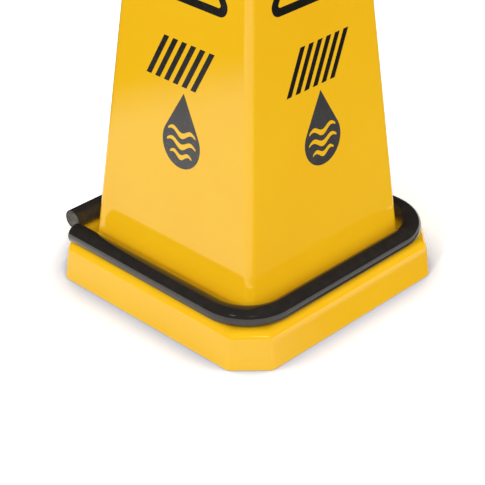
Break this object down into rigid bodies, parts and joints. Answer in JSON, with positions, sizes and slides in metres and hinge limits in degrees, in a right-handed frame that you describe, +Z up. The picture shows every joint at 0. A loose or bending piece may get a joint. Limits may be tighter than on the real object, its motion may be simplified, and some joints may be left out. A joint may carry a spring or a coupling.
{
  "type": "wet floor sign",
  "caption": "Tall four-sided stacking floor safety cone with a cut-corner base and a loose sleeved steel weight ring round its foot.",
  "frame": {"origin": "middle of the base, on the floor", "axes": "+Z up along the cone; the four faces look along +X, -X, +Y and -Y; the weight ring is open at its (-X, -Y) corner"},
  "size_m": [0.311, 0.311, 0.914],
  "materials": {
    "cone_plastic": "glossy safety yellow moulded polyethylene",
    "bar_steel": "dull sawn steel end",
    "sleeve_vinyl": "glossy black vinyl"
  },
  "bodies": {
    "cone_body": {"cone": "cone_plastic"},
    "weight_ring": {"ring_bar": "bar_steel", "ring_sleeve": "sleeve_vinyl"}
  },
  "joints": [
    {"name": "ring_lift", "type": "slide", "parent": "cone_body", "child": "weight_ring", "axis": [0, 0, 1], "range_m": [0, 0.9]}
  ]
}
